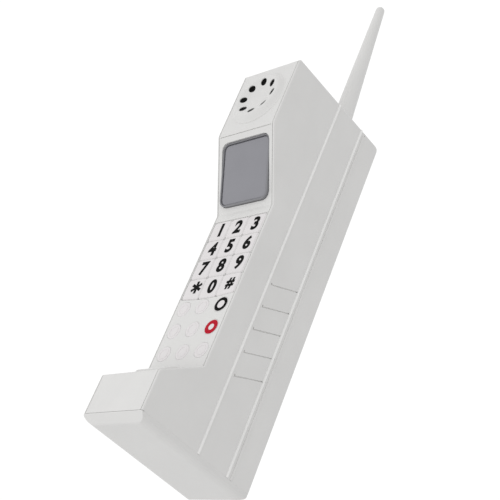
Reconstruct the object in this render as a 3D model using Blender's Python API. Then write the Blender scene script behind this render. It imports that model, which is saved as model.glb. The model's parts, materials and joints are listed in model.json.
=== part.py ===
"""Toy cell phone of the tall brick kind, as an assembly of separate pieces.

Shapes are drawn in millimetres from a datum inside the base, then scaled to metres and
moved to the final frame as each piece is finished.
+X is the phone's right-hand side seen from the front, -Y its front, +Z up.
The origin is the centre of the bounding box's bottom face.
"""
import math

import bmesh
import bpy
from mathutils import Matrix, Vector

MM = 0.001                      # one millimetre in metres
GAP = 0.3                       # clearance between pieces that touch
BEYOND = 8.0                    # how far a cutter runs past the material it opens
DATUM = Vector((0.0, 0.35, 2.0))       # where the drawing's datum lies in the final frame

# Case, all in millimetres
HALF_WIDTH = 24.0               # to the top of the beads along the sides
BEAD_HEIGHT = 0.4               # the beads stand this proud of the side walls
BEAD_WIDTH = 1.2
HALF_SHELL = HALF_WIDTH - BEAD_HEIGHT
BODY_HEIGHT = 252.6
WALL = 2.2
FRONT_WALL = 2.6
EDGE_ROUND = 1.0
BACK_Y = 43.875
KEY_FACE_Y = BACK_Y - 61.5
FOOT_FACE_Y = KEY_FACE_Y - 25.8
CREASE_Y = KEY_FACE_Y - 23.6    # where the screen slope meets the head
HEAD_TOP_Y = KEY_FACE_Y - 24.4
FRONT_SPLIT_Y = KEY_FACE_Y + 18.0
BACK_SPLIT_Y = KEY_FACE_Y + 46.6
BASE_BOTTOM_Z = -DATUM.z
BASE_TOP_Z = 2.2
SHELL_BOTTOM_Z = BASE_TOP_Z + GAP
FOOT_EDGE_Z = 26.5
FOOT_ROOT_Z = 45.0
KEY_TOP_Z = 157.0
CREASE_Z = 201.5
HALF_PANEL = 22.0               # a groove up each side sets the front panel off from its rails
CREASE_LINE_DOWN = 1.3          # moulded line across the panel, just below the crease
LINE_WIDTH = 0.5
LINE_DEPTH = 0.7
BASE_BEVEL = 5.3                # length of the bevel under the foot's front
BASE_SIDE = 6.5                 # width of the soft edge along each side
BASE_FLOOR = 2.2
SNAP_RADIUS = 1.6               # the base's two posts snap into a bridge in the middle frame
BRIDGE_LOW_Z = 8.0
BRIDGE_HIGH_Z = 9.6
GRIP_LINES = 5                  # raked grip grooves on each side of the middle frame
GRIP_PITCH = 15.4
GRIP_FIRST_Z = 51.9
GRIP_RISE = 10.4
GRIP_RUN = 23.0
GRIP_WIDTH = 0.8
GRIP_DEPTH = 0.6
LIP = 2.0                       # tongue of the middle frame inside each shell
LIP_WALL = 1.2

# Keys
KEY_PITCH_X = 14.2
KEY_PITCH_Z = 14.25
KEY_SIZE = 13.85
KEY_STEM = 12.4
KEY_HOLE = 13.0
KEY_PROUD = 0.15
KEY_CAP = 1.3
KEY_TRAVEL = 1.0
KEY_SAG = 1.5                   # the key field's lower edge sags in the middle
FIRST_KEY_DROP = 12.85          # centre of the first row below the slope
FIRST_ROUND_DROP = 70.2
ROUND_PITCH_X = 15.1
ROUND_PITCH_Z = 15.3
ROUND_KEY_RADIUS = 5.0
ROUND_PROUD = 0.2
NUMBER_KEYS = ("1", "2", "3", "4", "5", "6", "7", "8", "9", "star", "0", "hash")
ROUND_KEYS = ("recall", "clear", "call", "store", "function", "end", "power", "lock", "volume")

# Levels through the keypad, front to back
INNER_Y = KEY_FACE_Y + FRONT_WALL
KEY_TOP_Y = KEY_FACE_Y - KEY_PROUD
CAP_BACK_Y = KEY_TOP_Y + KEY_CAP
WEB_FRONT_Y = CAP_BACK_Y + KEY_TRAVEL + GAP
WEB_BACK_Y = WEB_FRONT_Y + 1.2
BARB_BACK_Y = WEB_BACK_Y + GAP + 1.0
DOME_Y = BARB_BACK_Y + KEY_TRAVEL + GAP
MAT_Y = DOME_Y + 0.5
MAT_BACK_Y = MAT_Y + 0.8
BOARD_Y = MAT_BACK_Y + GAP
BOARD_BACK_Y = BOARD_Y + 1.6

# Ear cup, speaker
EAR_Z = 227.3
EAR_RADIUS = 20.5
EAR_RIM_RADIUS = 15.5
EAR_RIM = 2.95
EAR_DISH = 0.6                 # floor of the dish above the panel
EAR_WALL = 1.3
DISH_FLOOR_RADIUS = 7.6
SPEAKER_INSET = 0.85            # the speaker's ring behind the face of the panel
CLAMP_Y = -27.0                 # front of the bar that holds the speaker
PAD_DOWN = 12.5                 # centre of the mouthpiece pad down the foot's slope
EAR_HOLE_RING = 12.0
EAR_HOLE_RADIUS = 2.5
EAR_HOLES = 8

# Screen
SCREEN_CENTRE_DOWN = 26.0       # along the slope from the crease
SCREEN_HALF_WIDTH = 19.5
SCREEN_HALF_HEIGHT = 20.3
SCREEN_RAISE = 0.35
SCREEN_RIM = 0.9
SCREEN_CORNER = 4.6
SCREEN_TILT = math.radians(4.2)
SCREEN_DEPTH = 7.0

# Case screws
SCREW_X = 18.7
SCREW_LOW_Z = 11.5
SCREW_HIGH_Z = 222.0
BOSS_RADIUS = 2.9
TUBE_RADIUS = 2.4
SCREW_HOLE = 1.6
SCREW_SHANK = 1.25
SCREW_SEAT_Y = 32.0
SCREW_TIP_Y = -11.0

# Batteries and their door
CELL_RADIUS = 7.25
CELL_LENGTH = 50.5
CELL_X = 7.7
CELL_Y = 34.3
CELL_BOTTOM_Z = 28.0
TRAY_HALF = 15.6
TRAY_WALL = 1.2
TRAY_LOW_Z = 22.2
TRAY_HIGH_Z = 84.8
TRAY_FLOOR_Y = 26.7
DOOR_HALF = 17.9
DOOR_TOP_Z = 92.7
DOOR_INNER_Y = BACK_Y - 1.9
HINGE_Y = 41.925
HINGE_Z = 18.6
HINGE_RADIUS = BACK_Y - HINGE_Y
PIN_RADIUS = 0.9
DOOR_SCREW_Z = 89.0

# Antenna
MAST_X = 16.0
MAST_Y = KEY_FACE_Y + 30.4
MAST_LENGTH = 102.5
MAST_LEAN = Vector((-0.0245, -0.028, 1.0)).normalized()
MAST_BASE_RADIUS = 6.15
MAST_TIP_RADIUS = 3.05

LEFT_RIGHT = (-1, 1)


# Materials ---------------------------------------------------------------

def material(name, color, roughness, metallic=0.0):
    result = bpy.data.materials.new(name)
    result.use_nodes = True
    result.diffuse_color = (*color, 1.0)
    shader = result.node_tree.nodes["Principled BSDF"]
    shader.inputs["Base Color"].default_value = (*color, 1.0)
    shader.inputs["Roughness"].default_value = roughness
    shader.inputs["Metallic"].default_value = metallic
    return result


# Mesh helpers, in millimetres --------------------------------------------

def add_box(bm, low, high):
    size = Vector(high) - Vector(low)
    centre = (Vector(high) + Vector(low)) / 2
    matrix = Matrix.Translation(centre) @ Matrix.Diagonal((*size, 1.0))
    bmesh.ops.create_cube(bm, size=1.0, matrix=matrix)


def add_cylinder(bm, start, end, radius, end_radius=None, segments=24):
    start = Vector(start)
    axis = Vector(end) - start
    turn = axis.to_track_quat("Z", "Y").to_matrix().to_4x4()
    matrix = Matrix.Translation(start + axis / 2) @ turn
    end_radius = radius if end_radius is None else end_radius
    bmesh.ops.create_cone(bm, cap_ends=True, segments=segments, radius1=radius,
                          radius2=end_radius, depth=axis.length, matrix=matrix)


def add_loft(bm, loops):
    """Closed skin through loops of equal point counts, with filled ends."""
    rings = [[bm.verts.new(point) for point in loop] for loop in loops]
    count = len(rings[0])
    for near, far in zip(rings, rings[1:]):
        for i in range(count):
            j = (i + 1) % count
            bm.faces.new((near[i], near[j], far[j], far[i]))
    bm.faces.new(rings[0])
    bm.faces.new(rings[-1])


def add_turned(bm, profile, start, direction, segments=32):
    """Closed (radius, distance) outline turned about an axis; it touches the axis or rings it."""
    turn = Vector(direction).to_track_quat("Z", "Y")
    start = Vector(start)
    rings = []
    for radius, distance in profile:
        if radius < 1e-6:
            rings.append([bm.verts.new(start + turn @ Vector((0, 0, distance)))])
            continue
        angles = [2 * math.pi * i / segments for i in range(segments)]
        ring = [Vector((radius * math.cos(a), radius * math.sin(a), distance)) for a in angles]
        rings.append([bm.verts.new(start + turn @ point) for point in ring])
    closed = profile[0][0] > 1e-6
    following = rings[1:] + rings[:1] if closed else rings[1:]
    for near, far in zip(rings, following):
        for i in range(segments):
            j = (i + 1) % segments
            corners = [near[i % len(near)], near[j % len(near)], far[j % len(far)], far[i % len(far)]]
            unique = list(dict.fromkeys(corners))
            if len(unique) > 2:
                bm.faces.new(unique)


def new_object(name, bm):
    bmesh.ops.recalc_face_normals(bm, faces=bm.faces)
    mesh = bpy.data.meshes.new(name)
    bm.to_mesh(mesh)
    bm.free()
    result = bpy.data.objects.new(name, mesh)
    bpy.context.scene.collection.objects.link(result)
    return result


def shape(name, *calls):
    """Object from (function, arguments...) calls that each add to one mesh."""
    bm = bmesh.new()
    for function, *arguments in calls:
        function(bm, *arguments)
    return new_object(name, bm)


def bake(target):
    bpy.context.view_layer.update()
    graph = bpy.context.evaluated_depsgraph_get()
    mesh = bpy.data.meshes.new_from_object(target.evaluated_get(graph))
    target.modifiers.clear()
    target.data = mesh


def combine(target, operation, *tools):
    for tool in tools:
        modifier = target.modifiers.new("boolean", "BOOLEAN")
        modifier.operation = operation
        modifier.solver = "EXACT"
        modifier.object = tool
        bake(target)
        bpy.data.objects.remove(tool)
    return target


def cut(target, *calls):
    return combine(target, "DIFFERENCE", shape("cutter", *calls))


def fuse(target, *calls):
    return combine(target, "UNION", shape("addition", *calls))


def finish(target, look, origin=(0, 0, 0), smooth_degrees=35):
    """Scale a piece to metres, put its origin on its axis and give it its material."""
    bm = bmesh.new()
    bm.from_mesh(target.data)
    bmesh.ops.dissolve_limit(bm, angle_limit=math.radians(0.05), verts=bm.verts, edges=bm.edges)
    bmesh.ops.triangulate(bm, faces=bm.faces)
    bm.to_mesh(target.data)
    bm.free()
    target.data.transform(Matrix.Scale(MM, 4) @ Matrix.Translation(-Vector(origin)))
    target.location = (Vector(origin) + DATUM) * MM
    target.data.materials.clear()
    target.data.materials.append(look)
    target.data.shade_smooth()
    target.data.set_sharp_from_angle(angle=math.radians(smooth_degrees))
    return target


def rounded(corners, steps=4):
    """Closed outline through (a, b, radius) corners, each corner a true arc."""
    outline = []
    count = len(corners)
    for i, (a, b, radius) in enumerate(corners):
        here = Vector((a, b))
        if radius == 0:
            outline.append(here)
            continue
        back = (Vector(corners[i - 1][:2]) - here).normalized()
        ahead = (Vector(corners[(i + 1) % count][:2]) - here).normalized()
        half = back.angle(ahead) / 2
        centre = here + (back + ahead).normalized() * radius / math.sin(half)
        first = here + back * radius / math.tan(half) - centre
        last = here + ahead * radius / math.tan(half) - centre
        for k in range(steps + 1):
            mix = first.lerp(last, k / steps)
            if 0 < k < steps:
                total = first.angle(last)
                mix = (first * math.sin((1 - k / steps) * total)
                       + last * math.sin(k / steps * total)) / math.sin(total)
            outline.append(centre + mix)
    return outline


def inset(corners, distances):
    """Closed outline moved inwards, edge i (from corner i to i + 1) by distances[i]."""
    points = [Vector(corner[:2]) for corner in corners]
    count = len(points)
    area = sum(points[i].x * points[(i + 1) % count].y - points[(i + 1) % count].x * points[i].y
               for i in range(count))
    turn = 1 if area > 0 else -1
    lines = []
    for i in range(count):
        along = (points[(i + 1) % count] - points[i]).normalized()
        inward = Vector((-along.y, along.x)) * turn
        lines.append((points[i] + inward * distances[i], along))
    result = []
    for i in range(count):
        start, along = lines[i - 1]
        other, across = lines[i]
        factor = (other - start).cross(across) / along.cross(across)
        result.append(start + along * factor)
    return result


def add_side_prism(bm, outline, low_x, high_x):
    """(y, z) outline drawn out along X."""
    add_loft(bm, [[(x, point[0], point[1]) for point in outline] for x in (low_x, high_x)])


def rounded_rectangle(half_width, half_height, radius, steps=3):
    corners = [(-half_width, -half_height, radius), (half_width, -half_height, radius),
               (half_width, half_height, radius), (-half_width, half_height, radius)]
    return rounded(corners, steps)


# Case --------------------------------------------------------------------

CASE_CORNERS = [
    (BACK_Y, -BEYOND, 0), (FOOT_FACE_Y, -BEYOND, 0), (FOOT_FACE_Y, FOOT_EDGE_Z, 1.8),
    (KEY_FACE_Y, FOOT_ROOT_Z, 0.8), (KEY_FACE_Y, KEY_TOP_Z, 0.8), (CREASE_Y, CREASE_Z, 6.0),
    (HEAD_TOP_Y, BODY_HEIGHT, 1.5), (BACK_Y, BODY_HEIGHT, 3.0)]


def slope_frame(start, end, along):
    """Point along a slope of the side profile, its direction and its outward normal."""
    start = Vector((0, *start))
    direction = (Vector((0, *end)) - start).normalized()
    normal = Vector((0, direction.z, -direction.y))
    return start + direction * along, direction, normal


def case_body(name):
    """Whole outer form of the case above its base, with rounded edges."""
    body = shape(name, (add_side_prism, rounded(CASE_CORNERS), -HALF_SHELL, HALF_SHELL))
    bm = bmesh.new()
    bm.from_mesh(body.data)
    edges = [edge for edge in bm.edges if abs(edge.verts[0].co.x - edge.verts[1].co.x) < 0.01]
    bmesh.ops.bevel(bm, geom=edges, offset=EDGE_ROUND, segments=2, profile=0.5, affect="EDGES",
                    clamp_overlap=True)
    bm.to_mesh(body.data)
    bm.free()
    return body


def keep_between(body, low_y, high_y):
    """Slice a body to the stretch from low_y to high_y above the base."""
    bm = bmesh.new()
    bm.from_mesh(body.data)
    planes = [((0, low_y, 0), (0, -1, 0)), ((0, high_y, 0), (0, 1, 0)),
              ((0, 0, SHELL_BOTTOM_Z), (0, 0, -1))]
    for point, normal in planes:
        geometry = bm.verts[:] + bm.edges[:] + bm.faces[:]
        result = bmesh.ops.bisect_plane(bm, geom=geometry, plane_co=point, plane_no=normal,
                                        clear_outer=True)
        rim = [item for item in result["geom_cut"] if isinstance(item, bmesh.types.BMEdge)]
        if rim:
            bmesh.ops.edgeloop_fill(bm, edges=rim)
    bm.to_mesh(body.data)
    bm.free()
    return body


def case_screw_places():
    return [(side * SCREW_X, z) for z in (SCREW_LOW_Z, SCREW_HIGH_Z) for side in LEFT_RIGHT]


def key_field(grow):
    """Outline of the number key pool, its lower edge an arc that sags in the middle."""
    half = 1.5 * KEY_PITCH_X + grow
    top = KEY_TOP_Z - FIRST_KEY_DROP + KEY_PITCH_Z / 2 + grow
    bottom = key_row_z(3) - KEY_PITCH_Z / 2 - grow
    steps = 8
    arc = [(-half + 2 * half * i / steps, 0) for i in range(steps + 1)]
    arc = [(x, bottom - key_sag(x)) for x, _ in arc]
    return arc + [(half, top), (-half, top)]


def key_sag(x):
    return max(0.0, KEY_SAG * (1 - (x / (1.5 * KEY_PITCH_X)) ** 2))


def key_row_z(row):
    return KEY_TOP_Z - FIRST_KEY_DROP - row * KEY_PITCH_Z


def round_row_z(row):
    return KEY_TOP_Z - FIRST_ROUND_DROP - row * ROUND_PITCH_Z


def add_front_prism(bm, outline, low_y, high_y):
    """(x, z) outline drawn out along Y."""
    add_loft(bm, [[(point[0], y, point[1]) for point in outline] for y in (low_y, high_y)])


def add_placed(bm, matrix, function, *arguments):
    """Add a shape drawn in a local frame."""
    before = set(bm.verts)
    function(bm, *arguments)
    bmesh.ops.transform(bm, matrix=matrix, verts=[v for v in bm.verts if v not in before])


def screen_matrix():
    """Local frame of the screen: X across, Y up the slope, Z out of the glass."""
    centre, down, normal = slope_frame((CREASE_Y, CREASE_Z), (KEY_FACE_Y, KEY_TOP_Z),
                                       SCREEN_CENTRE_DOWN)
    normal = -normal if normal.y > 0 else normal
    tilted_up = -(down * math.cos(SCREEN_TILT) + normal * math.sin(SCREEN_TILT))
    tilted_normal = normal * math.cos(SCREEN_TILT) - down * math.sin(SCREEN_TILT)
    columns = Matrix((Vector((1, 0, 0)), tilted_up, tilted_normal)).transposed()
    return Matrix.Translation(centre + normal * SCREEN_RAISE) @ columns.to_4x4()


def pad_matrix():
    """Local frame of the mouthpiece: X across, Y down the foot's slope, Z outwards."""
    centre, down, normal = slope_frame((KEY_FACE_Y, FOOT_ROOT_Z), (FOOT_FACE_Y, FOOT_EDGE_Z),
                                       PAD_DOWN)
    normal = -normal if normal.z < 0 else normal
    columns = Matrix((normal.cross(down) * -1, down, normal)).transposed()
    return Matrix.Translation(centre) @ columns.to_4x4()


def add_plate(bm, outline, low, high):
    """(x, y) outline drawn out along a local Z."""
    add_loft(bm, [[(point[0], point[1], z) for point in outline] for z in (low, high)])


def ear_profile():
    """Ear cup: a soft flank up to a rim, then a dish."""
    flank = 5
    back = EAR_DISH - EAR_WALL
    profile = [(0, back), (EAR_RIM_RADIUS, back), (EAR_RADIUS, -0.8), (EAR_RADIUS, 0)]
    for i in range(1, flank):
        share = i / flank
        rise = EAR_RIM * (1 - math.cos(math.pi * share)) / 2
        profile.append((EAR_RADIUS + (EAR_RIM_RADIUS - EAR_RADIUS) * share, rise))
    profile += dish(EAR_DISH, EAR_RIM)
    return profile


def dish(centre, rim):
    """Profile of a dish with a flat floor, from its rounded rim to its centre."""
    return [(EAR_RIM_RADIUS, rim), (EAR_RIM_RADIUS - 0.7, rim - 0.12),
            (DISH_FLOOR_RADIUS + 1.8, centre + 0.3), (DISH_FLOOR_RADIUS, centre + 0.06),
            (DISH_FLOOR_RADIUS - 2.0, centre), (0, centre)]


def head_panel_y():
    """Panel surface at the ear cup's centre."""
    share = (EAR_Z - CREASE_Z) / (BODY_HEIGHT - CREASE_Z)
    return CREASE_Y + (HEAD_TOP_Y - CREASE_Y) * share


def ear_hole_places():
    for i in range(EAR_HOLES):
        angle = 2 * math.pi * i / EAR_HOLES
        yield EAR_HOLE_RING * math.cos(angle), EAR_Z + EAR_HOLE_RING * math.sin(angle)


def board_screw_places():
    low_z = (round_row_z(1) + round_row_z(2)) / 2
    return [(-16.0, 154.2), (KEY_PITCH_X / 2, low_z)]


def clamp_stake_places():
    return [(-16.5, EAR_Z + 14.0), (16.5, EAR_Z - 14.0)]


def panel_grooves():
    """Narrow groove along both edges of the whole front, between the panel and its rails."""
    top = BODY_HEIGHT + BEYOND
    far = -80.0
    face = [(FOOT_FACE_Y, -BEYOND), (FOOT_FACE_Y, FOOT_EDGE_Z), (KEY_FACE_Y, FOOT_ROOT_Z),
            (KEY_FACE_Y, KEY_TOP_Z), (CREASE_Y, CREASE_Z), (HEAD_TOP_Y, BODY_HEIGHT),
            (HEAD_TOP_Y, top), (far, top), (far, -BEYOND)]
    drops = [-LINE_DEPTH] * 6 + [0, 0, 0]
    outline = inset(face, drops)
    outer = HALF_PANEL + LINE_WIDTH
    return [(add_side_prism, outline, *sorted((side * HALF_PANEL, side * outer)))
            for side in LEFT_RIGHT]


def front_shell(look):
    split = FRONT_SPLIT_Y - GAP / 2
    shell = keep_between(case_body("front_shell"), -100, split)
    hollow = inset(CASE_CORNERS, [0, FRONT_WALL, FRONT_WALL, FRONT_WALL, FRONT_WALL, FRONT_WALL,
                                  WALL, 0])
    half_hollow = HALF_SHELL - WALL
    cut(shell, (add_side_prism, hollow, -half_hollow, half_hollow))
    cut(shell, *panel_grooves())
    line_place, down, outward = slope_frame((CREASE_Y, CREASE_Z), (KEY_FACE_Y, KEY_TOP_Z),
                                            CREASE_LINE_DOWN)
    line = [(line_place + down * a + outward * b).yz for a, b in
            ((-LINE_WIDTH / 2, -LINE_DEPTH), (LINE_WIDTH / 2, -LINE_DEPTH),
             (LINE_WIDTH / 2, LINE_DEPTH), (-LINE_WIDTH / 2, LINE_DEPTH))]
    cut(shell, (add_side_prism, line, -HALF_PANEL + 0.8, HALF_PANEL - 0.8))
    ear_centre = (0, head_panel_y(), EAR_Z)
    fuse(shell, (add_turned, ear_profile(), ear_centre, (0, -1, 0), 40))
    fuse(shell, (add_box, (-22.5, INNER_Y - 0.3, 92.0), (22.5, WEB_BACK_Y, 153.0)))
    cut(shell, (add_front_prism, key_field(GAP), WEB_FRONT_Y, KEY_FACE_Y - BEYOND))
    stem_holes = []
    for row in range(4):
        for column in (-1, 0, 1):
            x = column * KEY_PITCH_X
            low = (x - KEY_HOLE / 2, WEB_FRONT_Y - 1, key_row_z(row) - KEY_HOLE / 2)
            high = (x + KEY_HOLE / 2, WEB_BACK_Y + 1, key_row_z(row) + KEY_HOLE / 2)
            stem_holes.append((add_box, low, high))
    cut(shell, *stem_holes)
    round_holes = []
    for row in range(3):
        for column in (-1, 0, 1):
            x = column * ROUND_PITCH_X
            start = (x, KEY_FACE_Y - 1, round_row_z(row))
            end = (x, WEB_BACK_Y + 1, round_row_z(row))
            round_holes.append((add_cylinder, start, end, ROUND_KEY_RADIUS + GAP,
                                ROUND_KEY_RADIUS + GAP, 20))
    cut(shell, *round_holes)
    ear_holes = [(add_cylinder, (x, -50, z), (x, -36, z), EAR_HOLE_RADIUS, EAR_HOLE_RADIUS, 16)
                 for x, z in ear_hole_places()]
    pocket = [(0, -9), (17.6, -9), (17.6, 0.6)]
    pocket += dish(EAR_DISH - EAR_WALL, EAR_RIM - EAR_WALL)
    cut(shell, (add_turned, pocket, ear_centre, (0, -1, 0), 40))
    cut(shell, *ear_holes)
    window = rounded_rectangle(SCREEN_HALF_WIDTH + GAP, SCREEN_HALF_HEIGHT + GAP,
                               SCREEN_CORNER + GAP)
    cut(shell, (add_placed, screen_matrix(), add_plate, window, -12, 12))
    slot = rounded_rectangle(9.7 + GAP, 4.2 + GAP, 1.5)
    cut(shell, (add_placed, pad_matrix(), add_plate, slot, -6, 6))
    for x, z in case_screw_places():
        fuse(shell, (add_cylinder, (x, -14.0, z), (x, split - LIP - GAP, z), BOSS_RADIUS,
                     BOSS_RADIUS, 16))
    cut(shell, *[(add_cylinder, (x, SCREW_TIP_Y - 1, z), (x, 1, z), SCREW_HOLE, SCREW_HOLE, 12)
                 for x, z in case_screw_places()])
    for x, z in board_screw_places():
        fuse(shell, (add_cylinder, (x, INNER_Y - 0.4, z), (x, BOARD_Y - GAP, z), 2.2, 2.2, 12))
    cut(shell, *[(add_cylinder, (x, INNER_Y + 1, z), (x, BOARD_Y + 1, z), 1.2, 1.2, 10)
                 for x, z in board_screw_places()])
    for x, z in clamp_stake_places():
        fuse(shell, (add_cylinder, (x, -40.0, z), (x, CLAMP_Y - GAP, z), 2.4, 2.4, 12))
        fuse(shell, (add_cylinder, (x, CLAMP_Y - 1, z), (x, CLAMP_Y + 2.6, z), 1.2, 1.2, 10))
    return finish(shell, look)


def bead(edge_y, side):
    """Raised bead along one side wall of the middle frame."""
    inner = side * (HALF_SHELL - 0.6)
    outer = side * HALF_WIDTH
    low, high = sorted((inner, outer))
    top = BODY_HEIGHT - 3.0
    return (add_box, (low, edge_y, SHELL_BOTTOM_Z), (high, edge_y + BEAD_WIDTH, top))


def grip_groove(index, side):
    """Slanted groove across the middle frame's side wall, with a short hook at its front end."""
    z = GRIP_FIRST_Z + index * GRIP_PITCH
    start_y = FRONT_SPLIT_Y + 2.8
    rise = GRIP_RISE / GRIP_RUN
    outline = [(start_y, z + 1.9), (start_y, z), (start_y + GRIP_RUN, z + GRIP_RISE),
               (start_y + GRIP_RUN, z + GRIP_RISE + GRIP_WIDTH),
               (start_y + GRIP_WIDTH, z + GRIP_WIDTH * (1 + rise)), (start_y + GRIP_WIDTH, z + 1.9)]
    low, high = sorted((side * (HALF_SHELL - GRIP_DEPTH), side * (HALF_SHELL + 1)))
    return (add_side_prism, outline, low, high)


def middle_frame(look):
    low_y = FRONT_SPLIT_Y + GAP / 2
    high_y = BACK_SPLIT_Y - GAP / 2
    frame = keep_between(case_body("middle_frame"), low_y, high_y)
    for side in LEFT_RIGHT:
        fuse(frame, bead(low_y, side))
        fuse(frame, bead(high_y - BEAD_WIDTH, side))
    tongue_half = HALF_SHELL - WALL - GAP
    lip_bottom = BASE_TOP_Z + 3.2
    fuse(frame, (add_box, (-tongue_half, low_y - LIP, lip_bottom),
                 (tongue_half, high_y + LIP, BODY_HEIGHT - WALL - GAP)))
    narrow = tongue_half - LIP_WALL
    cut(frame, (add_box, (-narrow, low_y - BEYOND, -BEYOND),
                (narrow, high_y + BEYOND, BODY_HEIGHT - WALL - GAP - LIP_WALL)))
    wide = HALF_SHELL - WALL
    cut(frame, (add_box, (-wide, low_y + LIP, -BEYOND), (wide, high_y - LIP, BODY_HEIGHT - WALL)))
    cut(frame, (add_box, (-wide, low_y - 1, -BEYOND), (wide, high_y + 1, lip_bottom)))
    for x, z in case_screw_places():
        fuse(frame, (add_cylinder, (x, low_y - LIP + 0.02, z), (x, high_y + LIP - 0.02, z),
                     TUBE_RADIUS, TUBE_RADIUS, 16))
    cut(frame, *[(add_cylinder, (x, low_y - 4, z), (x, high_y + 4, z), SCREW_HOLE, SCREW_HOLE, 12)
                 for x, z in case_screw_places()])
    middle_y = (low_y + high_y) / 2
    fuse(frame, (add_box, (-wide - 0.3, middle_y - 4.0, BRIDGE_LOW_Z),
                 (wide + 0.3, middle_y + 4.0, BRIDGE_HIGH_Z)))
    cut(frame, *[(add_cylinder, (x, y, 7), (x, y, 11), SNAP_RADIUS + 0.4, SNAP_RADIUS + 0.4, 16)
                 for x, y in snap_places()])
    hole_low = mast_point(-8)
    hole_high = mast_point(4)
    cut(frame, (add_cylinder, hole_low, hole_high, 3.5, 3.5, 20))
    cut(frame, *[grip_groove(i, side) for i in range(GRIP_LINES) for side in LEFT_RIGHT])
    return finish(frame, look)


def snap_places():
    middle = (FRONT_SPLIT_Y + BACK_SPLIT_Y) / 2
    return [(side * 9.0, middle) for side in LEFT_RIGHT]


def back_cover(look):
    low_y = BACK_SPLIT_Y + GAP / 2
    cover = keep_between(case_body("back_cover"), low_y, 100)
    half_hollow = HALF_SHELL - WALL
    cut(cover, (add_box, (-half_hollow, low_y - BEYOND, -BEYOND),
                (half_hollow, BACK_Y - WALL, BODY_HEIGHT - WALL)))
    wall_in = BACK_Y - WALL
    fuse(cover, (add_box, (-TRAY_HALF - TRAY_WALL, TRAY_FLOOR_Y - TRAY_WALL, TRAY_LOW_Z - TRAY_WALL),
                 (TRAY_HALF + TRAY_WALL, wall_in + 0.2, TRAY_HIGH_Z + TRAY_WALL)))
    fuse(cover, (add_box, (-half_hollow - 0.4, wall_in - 2.1, TRAY_LOW_Z - TRAY_WALL + 0.1),
                 (half_hollow + 0.4, wall_in + 0.25, DOOR_TOP_Z + 2.0)))
    fuse(cover, (add_box, (-3.5, 33.0, TRAY_HIGH_Z + 0.4), (3.5, wall_in - 1.0, 92.4)))
    for side in LEFT_RIGHT:
        low, high = sorted((side * (DOOR_HALF + GAP), side * (half_hollow + 0.4)))
        fuse(cover, (add_box, (low, wall_in - 2.0, HINGE_Z - 2.6), (high, wall_in + 0.2, HINGE_Z + 2.2)))
    opening_low_z = HINGE_Z - HINGE_RADIUS - GAP
    cut(cover, (add_box, (-DOOR_HALF - GAP, DOOR_INNER_Y - GAP - 0.05, opening_low_z),
                (DOOR_HALF + GAP, BACK_Y + BEYOND, DOOR_TOP_Z + GAP)))
    cut(cover, (add_box, (-DOOR_HALF - GAP, wall_in - 3.0, opening_low_z - 0.01),
                (DOOR_HALF + GAP, BACK_Y, TRAY_LOW_Z - TRAY_WALL - 0.01)))
    cut(cover, (add_box, (-TRAY_HALF, TRAY_FLOOR_Y, TRAY_LOW_Z), (TRAY_HALF, BACK_Y, TRAY_HIGH_Z)))
    for x, z in case_screw_places():
        fuse(cover, (add_cylinder, (x, low_y + LIP + GAP, z), (x, wall_in + 0.5, z), 3.9, 3.9, 16))
    wells = []
    for x, z in case_screw_places():
        wells.append((add_cylinder, (x, SCREW_SEAT_Y, z), (x, BACK_Y + 2, z), 2.9, 2.9, 16))
    cut(cover, *wells)
    cut(cover, *[(add_cylinder, (x, low_y, z), (x, BACK_Y, z), SCREW_HOLE, SCREW_HOLE, 12)
                 for x, z in case_screw_places()])
    pin_end = DOOR_HALF + 2.0 + GAP
    cut(cover, (add_cylinder, (-pin_end, HINGE_Y, HINGE_Z), (pin_end, HINGE_Y, HINGE_Z),
                PIN_RADIUS + GAP, PIN_RADIUS + GAP, 16))
    cut(cover, (add_cylinder, (0, 34.5, DOOR_SCREW_Z), (0, BACK_Y, DOOR_SCREW_Z), 1.8, 1.8, 12))
    return finish(cover, look)


def base_corner(side):
    """Quarter ellipse between a side wall and the underside, in the order of the outline."""
    height = BASE_TOP_Z - 0.2 - BASE_BOTTOM_Z
    angles = [math.pi / 2 * i / 6 for i in range(7)]
    points = [(side * (HALF_SHELL - BASE_SIDE * (1 - math.cos(a))),
               BASE_BOTTOM_Z + height * (1 - math.sin(a))) for a in angles]
    return points if side < 0 else points[::-1]


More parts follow.
